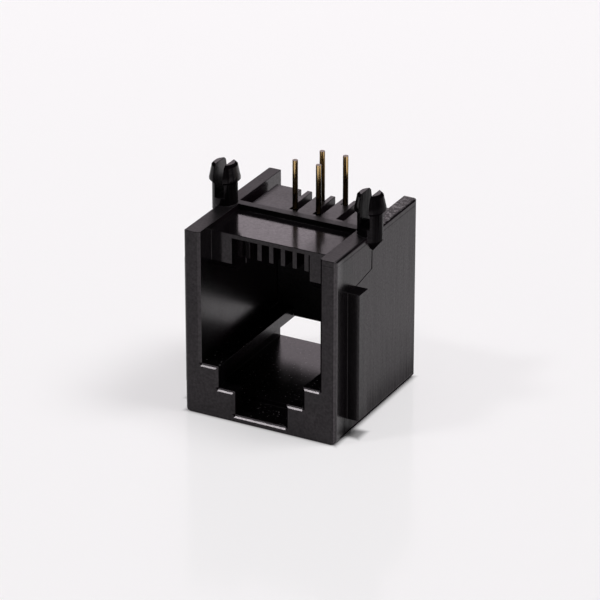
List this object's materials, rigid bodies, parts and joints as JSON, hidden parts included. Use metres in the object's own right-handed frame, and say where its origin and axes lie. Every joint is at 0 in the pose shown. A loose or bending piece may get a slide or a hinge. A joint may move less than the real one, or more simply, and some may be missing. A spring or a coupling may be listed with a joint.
{
  "type": "modular jack",
  "caption": "Right-angle modular telephone jack for a circuit board: a black housing with a stepped plug mouth, gilt spring contacts, staggered solder tails and split snap pegs.",
  "frame": {"origin": "under the middle of the body on the latch side, at the bottom centre of the bounding box", "axes": "+Z from the latch side up to the board seat, pegs and tails; +Y from the mouth to the back; +X to the right as seen from the mouth"},
  "size_m": [0.0152, 0.0136, 0.0188],
  "materials": {
    "housing_plastic": "gloss, moulded",
    "insert_plastic": "satin, moulded",
    "contact_gold": "thin gilt plating, bright"
  },
  "bodies": {
    "root": {"housing": "housing_plastic", "insert": "insert_plastic", "contact_1": "contact_gold", "contact_2": "contact_gold", "contact_3": "contact_gold", "contact_4": "contact_gold"}
  },
  "joints": []
}
